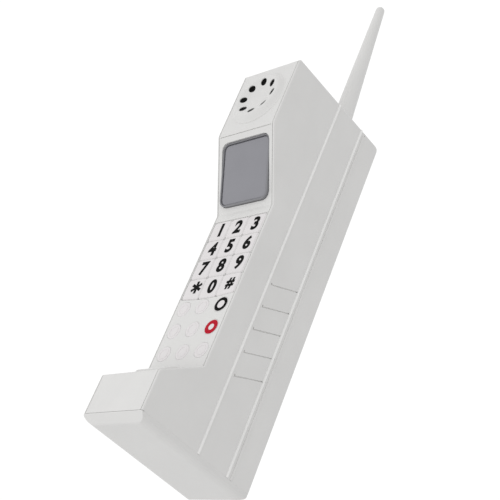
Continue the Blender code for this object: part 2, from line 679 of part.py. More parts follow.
def base_cap(look):
    """Closes the case below, held by two snap posts: soft sides, a broad bevel at its front."""
    side_outline = rounded([
        (BACK_Y, BASE_TOP_Z, 0), (FOOT_FACE_Y, BASE_TOP_Z, 0),
        (FOOT_FACE_Y, BASE_TOP_Z - 0.3, 0.3), (FOOT_FACE_Y + BASE_BEVEL, BASE_BOTTOM_Z, 3.0),
        (BACK_Y, BASE_BOTTOM_Z, 3.0)], 3)
    cap = shape("base_cap", (add_side_prism, side_outline, -HALF_SHELL - 1, HALF_SHELL + 1))
    end_outline = [(-HALF_SHELL, BASE_TOP_Z + 1), *base_corner(-1), *base_corner(1),
                   (HALF_SHELL, BASE_TOP_Z + 1)]
    combine(cap, "INTERSECT", shape("ends", (add_front_prism, end_outline, -60, 60)))
    half_depth = (BACK_Y - FOOT_FACE_Y) / 2
    middle_y = (BACK_Y + FOOT_FACE_Y) / 2
    plan = [(x, y + middle_y) for x, y in rounded_rectangle(HALF_SHELL, half_depth, EDGE_ROUND)]
    combine(cap, "INTERSECT", shape("plan", (add_plate, plan, -5, 9)))
    rim_half = HALF_SHELL - WALL - GAP
    front_y = FOOT_FACE_Y + FRONT_WALL + GAP
    back_y = BACK_Y - WALL - GAP
    fuse(cap, (add_box, (-rim_half, front_y, BASE_TOP_Z - 1.4), (rim_half, back_y, BASE_TOP_Z + 2.6)))
    cut(cap, (add_box, (-rim_half + 1.4, front_y + 1.4, BASE_BOTTOM_Z + BASE_FLOOR),
              (rim_half - 1.4, back_y - 1.4, BASE_TOP_Z + 9)))
    head_z = BRIDGE_HIGH_Z + GAP
    for x, y in snap_places():
        fuse(cap, (add_cylinder, (x, y, BASE_BOTTOM_Z + BASE_FLOOR - 0.2), (x, y, head_z + 0.4),
                   SNAP_RADIUS, SNAP_RADIUS, 16))
        fuse(cap, (add_cylinder, (x, y, head_z), (x, y, head_z + 2.0), 2.6, 1.4, 16))
    return finish(cap, look)


# Keys --------------------------------------------------------------------

def number_key(name, x, z, sagging, look):
    """Soft edged cap, a stem through the web and a snap barb behind it."""
    def loop(half, y, radius, sag=0.0):
        points = []
        outline = rounded_rectangle(half, half, radius, 2)
        bottom = [(half * share, -half) for share in (-0.5, 0.0, 0.5)]
        outline = outline[:3] + bottom + outline[3:]
        for a, b in outline:
            drop = sag * key_sag(x + a) if b < 0 else 0.0
            points.append((x + a, y, z + b - drop))
        return points

    half = KEY_SIZE / 2
    sag = 1.0 if sagging else 0.0
    loops = [loop(half - 0.6, KEY_TOP_Y, 1.2, sag), loop(half, KEY_TOP_Y + 0.5, 1.2, sag),
             loop(half, CAP_BACK_Y, 1.2, sag),
             loop(KEY_STEM / 2, CAP_BACK_Y + 0.01, 0.8), loop(KEY_STEM / 2, WEB_BACK_Y + GAP, 0.8),
             loop(half, WEB_BACK_Y + GAP + 0.01, 0.8), loop(KEY_STEM / 2, BARB_BACK_Y, 0.8)]
    key = shape(name, (add_loft, loops))
    return finish(key, look, (x, KEY_TOP_Y, z), 50)


def round_key(name, x, z, look):
    """Round cap with a soft edge and a retaining flange."""
    radius = ROUND_KEY_RADIUS
    top_y = KEY_FACE_Y - ROUND_PROUD
    flange = WEB_BACK_Y + GAP - top_y
    back = BARB_BACK_Y - top_y
    profile = [(0, 0), (radius - 0.3, 0), (radius, 0.3), (radius, flange),
               (radius + 0.7, flange), (radius + 0.7, back), (0, back)]
    key = shape(name, (add_turned, profile, (x, top_y, z), (0, 1, 0), 20))
    return finish(key, look, (x, top_y, z), 50)


def keys(look, rubber):
    for i, label in enumerate(NUMBER_KEYS):
        row, column = divmod(i, 3)
        number_key(f"key_{label}", (column - 1) * KEY_PITCH_X, key_row_z(row), row == 3, look)
    for i, label in enumerate(ROUND_KEYS):
        row, column = divmod(i, 3)
        round_key(f"key_{label}", (column - 1) * ROUND_PITCH_X, round_row_z(row), look)
    rows = [(key_row_z(row), KEY_PITCH_X) for row in range(4)]
    rows += [(round_row_z(row), ROUND_PITCH_X) for row in range(3)]
    mat = shape("keypad_mat", (add_box, (-19.0, MAT_Y, 49.0), (19.0, MAT_BACK_Y, 151.5)))
    domes = [(add_cylinder, (column * pitch, MAT_Y + 0.3, z), (column * pitch, DOME_Y, z),
              3.2, 2.0, 8) for z, pitch in rows for column in (-1, 0, 1)]
    fuse(mat, *domes)
    x, z = board_screw_places()[1]
    cut(mat, (add_cylinder, (x, MAT_Y - 2, z), (x, MAT_BACK_Y + 1, z), 2.7, 2.7, 12))
    finish(mat, rubber)


# Electronics -------------------------------------------------------------

def circuit_board(board_look, chip_look, led_look, screw_look):
    board = shape("circuit_board", (add_box, (-19.5, BOARD_Y, 48.0), (19.5, BOARD_BACK_Y, 157.5)))
    cut(board, *[(add_cylinder, (x, BOARD_Y - 1, z), (x, BOARD_BACK_Y + 1, z), 1.5, 1.5, 12)
                 for x, z in board_screw_places()])
    finish(board, board_look)
    dome = [(0, 0), (6.0, 0), (5.6, 0.9), (4.2, 1.7), (2.2, 2.1), (0, 2.2)]
    chip = shape("sound_chip", (add_turned, dome, (0, BOARD_BACK_Y + GAP, 118), (0, 1, 0), 20))
    finish(chip, chip_look)
    can = [(0, 0), (2.9, 0), (3.0, 0.6), (2.8, 1.2), (3.0, 1.8), (3.0, 7.4), (2.7, 7.8), (0, 7.8)]
    capacitor = shape("capacitor", (add_turned, can, (10, BOARD_BACK_Y + GAP, 138), (0, 1, 0), 16))
    finish(capacitor, chip_look)
    lamp = [(0, 0), (1.7, 0), (1.7, 0.8), (1.4, 0.8), (1.4, 2.4), (1.0, 3.2), (0, 3.5)]
    led = shape("screen_led", (add_turned, lamp, (0, BOARD_Y - GAP, 155.6), (0, -1, 0), 16))
    finish(led, led_look)
    for i, (x, z) in enumerate(board_screw_places()):
        screw(f"board_screw_{i + 1}", (x, BOARD_BACK_Y + GAP, z), (0, -1, 0), 2.2, 1.2, 0.9, 5.4,
              screw_look)


def screw(name, seat, direction, head_radius, head_height, shank_radius, length, look):
    """Pan head screw whose head rests at the seat, with a cross recess and a pointed shank."""
    profile = [(0, -head_height), (head_radius * 0.7, -head_height),
               (head_radius, -head_height * 0.5), (head_radius, 0), (shank_radius, 0),
               (shank_radius, length - 1.2), (0, length)]
    body = shape(name, (add_turned, profile, seat, direction, 12))
    turn = Vector(direction).to_track_quat("Z", "Y").to_matrix().to_4x4()
    place = Matrix.Translation(Vector(seat)) @ turn
    reach = head_radius * 0.55
    slots = [(reach, 0.25), (0.25, reach)]
    for across, along in slots:
        cut(body, (add_placed, place, add_box, (-across, -along, -head_height - 1),
                   (across, along, -head_height * 0.45)))
    return finish(body, look)


def screen(bezel_look, lens_look, panel_look):
    place = screen_matrix()
    outer = rounded_rectangle(SCREEN_HALF_WIDTH, SCREEN_HALF_HEIGHT, SCREEN_CORNER)
    bezel = shape("screen_bezel", (add_placed, place, add_plate, outer, -SCREEN_DEPTH, 0))
    for side in LEFT_RIGHT:
        low, high = sorted((side * (SCREEN_HALF_WIDTH - 0.5), side * 21.0))
        fuse(bezel, (add_placed, place, add_box, (low, -8.0, -6.8), (high, 6.0, -5.6)))
    pocket = rounded_rectangle(SCREEN_HALF_WIDTH - SCREEN_RIM, SCREEN_HALF_HEIGHT - SCREEN_RIM,
                               SCREEN_CORNER - SCREEN_RIM)
    cut(bezel, (add_placed, place, add_plate, pocket, -2.1, 3))
    sight = rounded_rectangle(SCREEN_HALF_WIDTH - 3.0, SCREEN_HALF_HEIGHT - 3.0, 2.0)
    cut(bezel, (add_placed, place, add_plate, sight, -9, 3))
    cut(bezel, (add_placed, place, add_plate, pocket, -9, -3.3))
    finish(bezel, bezel_look)
    half_x = SCREEN_HALF_WIDTH - SCREEN_RIM - GAP
    half_y = SCREEN_HALF_HEIGHT - SCREEN_RIM - GAP
    corner = SCREEN_CORNER - SCREEN_RIM - GAP
    levels = [(0.0, -1.8), (0.0, -0.85), (0.2, -0.65), (0.6, -0.55)]
    loops = [[(a, b, z) for a, b in rounded_rectangle(half_x - step, half_y - step, corner - step)]
             for step, z in levels]
    finish(shape("screen_lens", (add_placed, place, add_loft, loops)), lens_look)
    sheet = rounded_rectangle(half_x, half_y, corner)
    panel = shape("screen_panel", (add_placed, place, add_plate, sheet, -4.6, -3.6))
    finish(panel, panel_look)


def speaker(frame_look, cone_look, magnet_look, clamp_look):
    front = head_panel_y() + SPEAKER_INSET
    basket = [(17.2, 0), (17.2, 1.0), (14.6, 1.6), (9.6, 6.4), (9.6, 7.2), (8.6, 7.2), (8.6, 6.0),
              (13.6, 1.0), (13.6, 0)]
    frame = shape("speaker_frame", (add_turned, basket, (0, front, EAR_Z), (0, 1, 0), 24))
    finish(frame, frame_look)
    cone = [(0, 2.9), (3.0, 3.2), (4.4, 4.2), (12.9, 0.9), (12.9, 0.5), (4.2, 3.6), (3.0, 2.7),
            (0, 2.4)]
    finish(shape("speaker_cone", (add_turned, cone, (0, front, EAR_Z), (0, 1, 0), 24)), cone_look)
    magnet_front = front + 7.2 + GAP
    back = CLAMP_Y - GAP
    magnet = [(0, 0), (8.6, 0), (8.9, 0.3), (8.9, back - magnet_front - 0.3),
              (8.6, back - magnet_front), (0, back - magnet_front)]
    finish(shape("speaker_magnet", (add_turned, magnet, (0, magnet_front, EAR_Z), (0, 1, 0), 28)),
           magnet_look)
    ends = clamp_stake_places()
    slant = math.atan2(ends[1][1] - ends[0][1], ends[1][0] - ends[0][0])
    place = Matrix.Translation((0, CLAMP_Y, EAR_Z)) @ Matrix.Rotation(-slant, 4, "Y")
    half_length = math.dist(*ends) / 2 + 3.2
    bar = rounded_rectangle(half_length, 3.2, 3.0)
    clamp = shape("speaker_clamp", (add_placed, place, add_front_prism, bar, 0, 1.6))
    cut(clamp, *[(add_cylinder, (x, CLAMP_Y - 1, z), (x, CLAMP_Y + 3, z), 1.5, 1.5, 12)
                 for x, z in ends])
    finish(clamp, clamp_look)


def mouthpiece(look):
    place = pad_matrix()
    levels = [(11.5, 7.0, 2.5, 0.3), (11.5, 7.0, 2.5, 0.6), (11.0, 6.5, 2.2, 1.1),
              (10.0, 5.6, 1.8, 1.35)]
    loops = [[(a, b, z) for a, b in rounded_rectangle(half_x, half_y, radius)]
             for half_x, half_y, radius, z in levels]
    pad = shape("mouthpiece_pad", (add_placed, place, add_loft, loops))
    plug = rounded_rectangle(9.7, 4.2, 1.2)
    fuse(pad, (add_placed, place, add_plate, plug, -4.0, 0.6))
    for x in (-4.5, 0, 4.5):
        groove = rounded_rectangle(0.7, 3.0, 0.6, 2)
        groove = [(a + x, b) for a, b in groove]
        cut(pad, (add_placed, place, add_plate, groove, 0.2, 4))
    finish(pad, look)


# Power -------------------------------------------------------------------

def batteries(cell_look, contact_look, spring_look):
    nub = 1.2
    barrel = [(0, 0), (CELL_RADIUS - 0.6, 0), (CELL_RADIUS, 0.5), (CELL_RADIUS, CELL_LENGTH - nub - 0.5),
              (CELL_RADIUS - 0.6, CELL_LENGTH - nub), (2.7, CELL_LENGTH - nub),
              (2.5, CELL_LENGTH), (0, CELL_LENGTH)]
    top = CELL_BOTTOM_Z + CELL_LENGTH
    ends = {1: ((-CELL_X, CELL_Y, CELL_BOTTOM_Z), (0, 0, 1)), 2: ((CELL_X, CELL_Y, top), (0, 0, -1))}
    for number, (start, direction) in ends.items():
        cell = shape(f"battery_{number}", (add_turned, barrel, start, direction, 28))
        finish(cell, cell_look)
    spring("battery_spring_1", (-CELL_X, CELL_Y, TRAY_LOW_Z + 1.2), (0, 0, 1),
           CELL_BOTTOM_Z - TRAY_LOW_Z - 1.5 - GAP, spring_look)
    spring("battery_spring_2", (CELL_X, CELL_Y, TRAY_HIGH_Z - 1.2), (0, 0, -1),
           TRAY_HIGH_Z - top - 1.5 - GAP, spring_look)
    low = TRAY_LOW_Z + GAP
    high = TRAY_HIGH_Z - GAP
    plates = {"contact_negative": ((-13.5, 29.0, low), (-2.0, 40.5, low + 0.4)),
              "contact_positive": ((2.0, 29.0, low), (13.5, 40.5, low + 0.4)),
              "contact_bridge": ((-13.5, 29.0, high - 0.4), (13.5, 40.5, high))}
    for name, corners in plates.items():
        finish(shape(name, (add_box, *corners)), contact_look)


def spring(name, start, direction, length, look):
    """Tapered compression spring of round wire."""
    turns = 3.5
    steps = 11
    wire = 0.3
    curve = bpy.data.curves.new(name, "CURVE")
    curve.dimensions = "3D"
    curve.bevel_depth = wire
    curve.bevel_resolution = 1
    curve.use_fill_caps = True
    line = curve.splines.new("POLY")
    count = int(turns * steps)
    line.points.add(count)
    turn = Vector(direction).to_track_quat("Z", "Y")
    for i in range(count + 1):
        share = i / count
        angle = 2 * math.pi * turns * share
        radius = 4.6 - 1.8 * share
        point = Vector((radius * math.cos(angle), radius * math.sin(angle),
                        wire + (length - 2 * wire) * share))
        line.points[i].co = (*(Vector(start) + turn @ point), 1.0)
    return finish(mesh_from_curve(name, curve), look)


def mesh_from_curve(name, curve):
    guide = bpy.data.objects.new(name, curve)
    bpy.context.scene.collection.objects.link(guide)
    bpy.context.view_layer.update()
    graph = bpy.context.evaluated_depsgraph_get()
    mesh = bpy.data.meshes.new_from_object(guide.evaluated_get(graph))
    bpy.data.objects.remove(guide)
    bm = bmesh.new()
    bm.from_mesh(mesh)
    bmesh.ops.remove_doubles(bm, verts=bm.verts, dist=0.001)
    return new_object(name, bm)


def wire(name, points, look):
    """Thin insulated lead along a smooth curve through its points."""
    curve = bpy.data.curves.new(name, "CURVE")
    curve.dimensions = "3D"
    curve.bevel_depth = 0.6
    curve.bevel_resolution = 1
    curve.use_fill_caps = True
    line = curve.splines.new("POLY")
    smooth = catmull_rom([Vector(point) for point in points], 4)
    line.points.add(len(smooth) - 1)
    for spot, point in zip(line.points, smooth):
        spot.co = (*point, 1.0)
    return finish(mesh_from_curve(name, curve), look)


def catmull_rom(points, steps):
    padded = [points[0] * 2 - points[1]] + points + [points[-1] * 2 - points[-2]]
    result = []
    for a, b, c, d in zip(padded, padded[1:], padded[2:], padded[3:]):
        for i in range(steps):
            t = i / steps
            result.append(0.5 * (2 * b + (c - a) * t + (2 * a - 5 * b + 4 * c - d) * t ** 2
                                 + (3 * b - a - 3 * c + d) * t ** 3))
    result.append(points[-1])
    return result


def wires(red, black):
    board = BOARD_BACK_Y + GAP
    wire("battery_lead_red", [(7.7, 24.9, 26), (9, 20, 34), (8, 10, 50), (6, 0, 58), (5, board, 60)], red)
    wire("battery_lead_black", [(-7.7, 24.9, 26), (-9, 20, 34), (-8, 10, 50), (-6, 0, 58),
                                (-5, board, 60)], black)
    speaker_y = CLAMP_Y + 3.0
    wire("speaker_lead_red", [(4, speaker_y, 214), (5, -14, 205), (6, -3, 190), (7, 2, 165),
                              (6, board, 150)], red)
    wire("speaker_lead_black", [(-4, speaker_y, 214), (-5, -14, 205), (-6, -3, 190), (-7, 2, 165),
                                (-6, board, 150)], black)


def battery_door(look, screw_look):
    """Flap with a round knuckle and two pins at its foot, and a captive screw at its top."""
    thickness = BACK_Y - DOOR_INNER_Y
    centre = (HINGE_Y, HINGE_Z)
    arc = [math.radians(angle) for angle in range(0, -181, -20)]
    outline = [(centre[0] + HINGE_RADIUS * math.cos(a), centre[1] + HINGE_RADIUS * math.sin(a))
               for a in arc]
    outline += [(HINGE_Y - HINGE_RADIUS, HINGE_Z + 0.3), (BACK_Y - thickness, HINGE_Z + 1.6),
                (BACK_Y - thickness, DOOR_TOP_Z), (BACK_Y, DOOR_TOP_Z)]
    door = shape("battery_door", (add_side_prism, outline, -DOOR_HALF, DOOR_HALF))
    for side in LEFT_RIGHT:
        fuse(door, (add_cylinder, (side * (DOOR_HALF - 1), HINGE_Y, HINGE_Z),
                    (side * (DOOR_HALF + 2.0), HINGE_Y, HINGE_Z), PIN_RADIUS, PIN_RADIUS, 16))
    head_seat = BACK_Y - 1.2
    cut(door, (add_cylinder, (0, head_seat, DOOR_SCREW_Z), (0, BACK_Y + 2, DOOR_SCREW_Z), 2.5, 2.5, 20))
    cut(door, (add_cylinder, (0, head_seat - 3, DOOR_SCREW_Z), (0, BACK_Y, DOOR_SCREW_Z), 1.5, 1.5, 16))
    axis = (0, HINGE_Y, HINGE_Z)
    finish(door, look, axis)
    captive = screw("battery_door_screw", (0, head_seat + GAP, DOOR_SCREW_Z), (0, -1, 0), 2.1, 0.8,
                    1.2, 7.5, screw_look)
    captive.data.transform(Matrix.Translation(-Vector(axis) * MM))
    captive.location = (Vector(axis) + DATUM) * MM


# Antenna and fasteners ---------------------------------------------------

def mast_point(distance):
    """Point on the antenna's axis, measured from the case's top face."""
    return Vector((MAST_X, MAST_Y, BODY_HEIGHT)) + MAST_LEAN * distance


def antenna(look, nut_look):
    foot = 0.3 + MAST_BASE_RADIUS * 0.04
    profile = [(0, -8.5), (2.8, -8.5), (3.0, -8.0), (3.0, foot), (MAST_BASE_RADIUS, foot)]
    tip_start = MAST_LENGTH - MAST_TIP_RADIUS
    profile.append((MAST_TIP_RADIUS, tip_start))
    profile += [(MAST_TIP_RADIUS * math.cos(a), tip_start + MAST_TIP_RADIUS * math.sin(a))
                for a in (math.radians(22.5), math.radians(45), math.radians(67.5))]
    profile.append((0, MAST_LENGTH))
    finish(shape("antenna_mast", (add_turned, profile, mast_point(0), MAST_LEAN, 32)), look)
    nut = shape("antenna_nut", (add_cylinder, mast_point(-6.9), mast_point(-3.2), 5.2, 5.2, 6))
    cut(nut, (add_cylinder, mast_point(-9), mast_point(-1), 3.35, 3.35, 24))
    finish(nut, nut_look)


def case_screws(look):
    for i, (x, z) in enumerate(case_screw_places()):
        seat = (x, SCREW_SEAT_Y + GAP, z)
        screw(f"case_screw_{i + 1}", seat, (0, -1, 0), 2.5, 1.8, SCREW_SHANK,
              SCREW_SEAT_Y + GAP - SCREW_TIP_Y, look)


def main():
    for item in list(bpy.data.objects):
        bpy.data.objects.remove(item)
    case = material("case_plastic", (0.74, 0.74, 0.73), 0.45)
    cap = material("key_plastic", (0.78, 0.77, 0.76), 0.4)
    dark = material("bezel_plastic", (0.2, 0.2, 0.22), 0.35)
    lens = material("lens_plastic", (0.3, 0.3, 0.33), 0.15)
    card = material("screen_card", (0.27, 0.27, 0.3), 0.6)
    rubber = material("grey_rubber", (0.3, 0.3, 0.31), 0.8)
    board = material("board_green", (0.05, 0.22, 0.1), 0.5)
    black = material("black_plastic", (0.03, 0.03, 0.03), 0.4)
    paper = material("speaker_paper", (0.08, 0.08, 0.08), 0.9)
    steel = material("steel", (0.6, 0.6, 0.6), 0.3, 1.0)
    nickel = material("nickel", (0.7, 0.69, 0.66), 0.25, 1.0)
    cell = material("cell_sleeve", (0.08, 0.2, 0.35), 0.4)
    clear = material("led_clear", (0.8, 0.85, 0.8), 0.15)
    red_wire = material("red_insulation", (0.5, 0.03, 0.03), 0.5)
    black_wire = material("black_insulation", (0.02, 0.02, 0.02), 0.5)
    front_shell(case)
    middle_frame(case)
    back_cover(case)
    base_cap(case)
    keys(cap, rubber)
    circuit_board(board, black, clear, steel)
    screen(dark, lens, card)
    speaker(black, paper, steel, black)
    mouthpiece(case)
    batteries(cell, nickel, nickel)
    wires(red_wire, black_wire)
    battery_door(case, steel)
    antenna(case, black)
    case_screws(steel)


main()
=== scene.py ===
"""Looks of the toy cell phone: moulded plastic, printed keys, studio and camera.

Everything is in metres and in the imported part's own frame, +Z up and -Y out of the keypad.
"""

import json
import math

import bmesh
import bpy
from mathutils import Matrix, Vector


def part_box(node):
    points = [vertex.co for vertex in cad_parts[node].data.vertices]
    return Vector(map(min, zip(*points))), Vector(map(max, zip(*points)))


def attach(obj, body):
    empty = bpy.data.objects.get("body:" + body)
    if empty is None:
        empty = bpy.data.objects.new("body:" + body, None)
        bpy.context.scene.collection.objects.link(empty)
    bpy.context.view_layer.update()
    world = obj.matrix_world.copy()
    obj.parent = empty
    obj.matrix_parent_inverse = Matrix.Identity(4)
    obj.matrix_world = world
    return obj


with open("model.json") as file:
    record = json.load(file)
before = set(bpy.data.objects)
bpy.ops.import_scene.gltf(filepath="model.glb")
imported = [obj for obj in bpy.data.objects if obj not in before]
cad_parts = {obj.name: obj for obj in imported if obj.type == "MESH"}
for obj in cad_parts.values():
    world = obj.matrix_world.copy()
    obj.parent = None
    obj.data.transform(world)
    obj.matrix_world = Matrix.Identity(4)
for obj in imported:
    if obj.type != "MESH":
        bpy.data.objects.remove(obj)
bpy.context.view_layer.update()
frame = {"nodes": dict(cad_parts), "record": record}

MM = 0.001
INK = 0.05 * MM                  # printed ink stands this proud
MARK_SINK = 0.02 * MM            # a mark starts this far under the key's face
EMBOSS = 0.18 * MM               # moulded marks stand this proud

# Camera: the phone is seen from below and from its +X side, with the camera rolled
CAMERA_PLACE = Vector((0.47617, -0.36704, -0.21862))
CAMERA_HEADING = math.radians(52.51)      # away from +Y towards -X
CAMERA_RISE = math.radians(30.93)
CAMERA_ROLL = math.radians(23.05)
CAMERA_LENS = 85.08

# The studio is a pale surround that brightens slowly along one direction, with a backdrop lit
# in one fixed direction of the room, which is the one the photo's camera looks in
STUDIO_LEVEL = 0.80
STUDIO_SLOPE = (-0.06, -0.08, 0.10)
BACKDROP_LEVEL = 1.05
BACKDROP_EDGE = (0.84, 0.92)     # cosine of the angle from its middle, outer and inner

NUMBER_MARKS = {"1": "1", "2": "2", "3": "3", "4": "4", "5": "5", "6": "6", "7": "7", "8": "8",
                "9": "9", "0": "0", "hash": "#"}
DIGIT_HEIGHT = 9.9 * MM
DIGIT_NARROW = 0.94
LETTER_WEIGHT = 0.046            # thickens the typeface; the 8 and 9 have small mesh faults
MARK_SHIFT = Vector((1.1, 0, 0.2)) * MM   # the figures are printed a little off centre
RING_SHIFT = Vector((0.2, 0, -0.2)) * MM
HASH_SIZE = 0.8                  # of the height of the digits
STAR_ARMS = 6
STAR_RADIUS = 4.3 * MM
STAR_HALF_ARM = 0.9 * MM
STAR_SHIFT = Vector((0.8, 0, 0.9)) * MM
RING_OUTER = 4.65 * MM
CALL_RING_INNER = 2.6 * MM
END_RING_INNER = 2.0 * MM
PLAIN_RING_OUTER = 3.4 * MM
PLAIN_RING_INNER = 2.9 * MM
EAR_HOLES = 8
SEAM = 0.3 * MM                  # gap between two case sections
BEAD_SHIFT = 0.4 * MM            # from the seam's middle to the middle of the bead over it
BEAD_HALF = 0.8 * MM
BEAD_RISE = 0.85 * MM
BEAD_ROOT = 0.3 * MM             # the bead goes this far into the wall
EAR_CENTRE = Vector((0, -0.04128, 0.2293))      # where the dish's axis meets the panel
EAR_RIM_RADIUS = 15.5 * MM
DISH_FLOOR_RADIUS = 7.6 * MM
EAR_RIM = 2.95 * MM
EAR_DISH = 0.6 * MM
EAR_HOLE_RING = 12.0 * MM
CLOTH_DEPTH = 0.45 * MM          # the cloth shows this far below the dish
CLOTH_RADIUS = 2.42 * MM
PANEL_Y = -17.275 * MM           # face of the panel around the keys
TONGUE_SINK = 0.04 * MM
DOOR_RIDGES = 5
RIDGE_PITCH = 2.2 * MM
RIB_HALF = 0.13 * MM
RIB_DROP = 0.35 * MM
RIB_DEPTH = 1.0 * MM
ROUND_RADIUS = 5.0 * MM
PLAIN_ROUND_KEYS = ("recall", "clear", "store", "function", "power", "lock", "volume")

nodes = frame["nodes"]


# Node helpers ------------------------------------------------------------

class Look:
    """One material and the shorthand for wiring its nodes."""

    def __init__(self, name, color, roughness, metallic=0.0):
        self.material = bpy.data.materials.new(name)
        self.material.use_nodes = True
        self.material.diffuse_color = (*color, 1.0)
        self.tree = self.material.node_tree
        self.shader = self.tree.nodes["Principled BSDF"]
        self.shader.inputs["Base Color"].default_value = (*color, 1.0)
        self.shader.inputs["Roughness"].default_value = roughness
        self.shader.inputs["Metallic"].default_value = metallic
        self.place = self.node("ShaderNodeTexCoord").outputs["Object"]

    def node(self, kind, **values):
        made = self.tree.nodes.new(kind)
        for name, value in values.items():
            setattr(made, name, value)
        return made

    def join(self, output, socket):
        self.tree.links.new(output, socket)

    def noise(self, size_mm, detail=3.0, rough=0.5, stretch=(1, 1, 1)):
        """Noise whose main features are about size_mm across."""
        mapping = self.node("ShaderNodeMapping")
        mapping.inputs["Scale"].default_value = stretch
        self.join(self.place, mapping.inputs["Vector"])
        made = self.node("ShaderNodeTexNoise")
        made.inputs["Scale"].default_value = 1.0 / (size_mm * MM)
        made.inputs["Detail"].default_value = detail
        made.inputs["Roughness"].default_value = rough
        self.join(mapping.outputs["Vector"], made.inputs["Vector"])
        return made.outputs["Fac"]

    def ramp(self, value, low, high, start=0.0, end=1.0):
        """Map value from start..end to low..high."""
        made = self.node("ShaderNodeMapRange")
        made.inputs["From Min"].default_value = start
        made.inputs["From Max"].default_value = end
        made.inputs["To Min"].default_value = low
        made.inputs["To Max"].default_value = high
        self.join(value, made.inputs["Value"])
        return made.outputs["Result"]

    def mix(self, amount, first, second):
        """Colour mixed from first to second by amount; each is a colour or an output."""
        made = self.node("ShaderNodeMix", data_type="RGBA")
        self.join(amount, made.inputs["Factor"])
        for value, socket in ((first, made.inputs[6]), (second, made.inputs[7])):
            if isinstance(value, tuple):
                socket.default_value = (*value, 1.0)
            else:
                self.join(value, socket)
        return made.outputs[2]

    def bump(self, height, distance_mm, strength=1.0, before=None):
        made = self.node("ShaderNodeBump")
        made.inputs["Distance"].default_value = distance_mm * MM
        made.inputs["Strength"].default_value = strength
        self.join(height, made.inputs["Height"])
        if before is not None:
            self.join(before, made.inputs["Normal"])
        return made.outputs["Normal"]

    def edges(self, radius_mm, start=0.02, end=0.3):
        """Near 1 along sharp edges, where handling polishes the plastic, and near 0 elsewhere."""
        soft = self.node("ShaderNodeBevel", samples=4)
        soft.inputs["Radius"].default_value = radius_mm * MM
        flat = self.node("ShaderNodeNewGeometry").outputs["Normal"]
        dot = self.node("ShaderNodeVectorMath", operation="DOT_PRODUCT")
        self.join(soft.outputs["Normal"], dot.inputs[0])
        self.join(flat, dot.inputs[1])
        return self.ramp(dot.outputs["Value"], 1.0, 0.0, 1.0 - end, 1.0 - start)

    def finish(self, color=None, roughness=None, normal=None):
        for output, name in ((color, "Base Color"), (roughness, "Roughness"), (normal, "Normal")):
            if output is not None:
                self.join(output, self.shader.inputs[name])
        return self.material


def shade(color, factor):
    return tuple(min(1.0, channel * factor) for channel in color)


# Materials ---------------------------------------------------------------

def moulded(name, color, roughness, grain=0.012, wear=0.5):
    """Injection-moulded plastic: spark-eroded grain, faint flow clouds, polished edges."""
    look = Look(name, color, roughness)
    look.shader.inputs["Specular IOR Level"].default_value = 0.45
    clouds = look.noise(28, 4, 0.6)
    flow = look.noise(9, 3, 0.5, (1, 1, 0.25))
    specks = look.noise(1.4, 2, 0.7)
    tone = look.mix(look.ramp(clouds, 0.0, 1.0, 0.3, 0.7), shade(color, 0.975), shade(color, 1.02))
    tone = look.mix(look.ramp(flow, 0.0, 0.35, 0.35, 0.75), tone, shade(color, 0.965))
    tone = look.mix(look.ramp(specks, 0.0, 0.3, 0.6, 0.9), tone, shade(color, 0.93))
    edge = look.edges(0.7)
    tone = look.mix(look.ramp(edge, 0.0, wear), tone, shade(color, 1.1))
    gloss = look.noise(16, 3)
    rough = look.ramp(gloss, roughness - 0.05, roughness + 0.06, 0.3, 0.7)
    fine = look.bump(look.noise(0.35, 2, 0.6), grain)
    broad = look.bump(look.noise(14, 2), 0.05, 0.5, fine)
    return look.finish(tone, rough, broad)


def plain_ink(name, color):
    look = Look(name, color, 0.5)
    look.shader.inputs["Specular IOR Level"].default_value = 0.05
    thin = look.noise(0.5, 2)
    worn = tuple(channel * 0.9 + 0.004 for channel in color)
    tone = look.mix(look.ramp(thin, 0.0, 0.5, 0.5, 0.8), color, worn)
    return look.finish(tone, look.ramp(thin, 0.42, 0.58), look.bump(thin, 0.01))


def glossy_lens(name, color):
    look = Look(name, color, 0.12)
    look.shader.inputs["IOR"].default_value = 1.49
    look.shader.inputs["Coat Weight"].default_value = 0.4
    look.shader.inputs["Coat Roughness"].default_value = 0.06
    clouds = look.noise(22, 3)
    smears = look.noise(3.5, 4, 0.6, (1, 1, 0.4))
    scratch = look.noise(0.5, 2, 0.5, (1, 1, 0.06))
    tone = look.mix(look.ramp(clouds, 0.0, 1.0, 0.3, 0.7), shade(color, 0.97), shade(color, 1.04))
    rough = look.ramp(smears, 0.1, 0.24, 0.35, 0.75)
    return look.finish(tone, rough, look.bump(scratch, 0.003, 0.5))


def metal(name, color, roughness, brushed_mm=0.25):
    look = Look(name, color, roughness, 1.0)
    lines = look.noise(brushed_mm, 3, 0.6, (1, 1, 6))
    dull = look.noise(4, 4, 0.6)
    tone = look.mix(look.ramp(dull, 0.0, 1.0, 0.35, 0.8), color, shade(color, 0.8))
    rough = look.ramp(dull, roughness * 0.8, roughness * 1.5)
    return look.finish(tone, rough, look.bump(lines, 0.006, 0.6))


def rubber(name, color):
    look = Look(name, color, 0.75)
    dust = look.noise(5, 4, 0.6)
    tone = look.mix(look.ramp(dust, 0.0, 1.0, 0.4, 0.8), color, shade(color, 1.25))
    return look.finish(tone, look.ramp(dust, 0.68, 0.85), look.bump(look.noise(0.3, 2), 0.02))


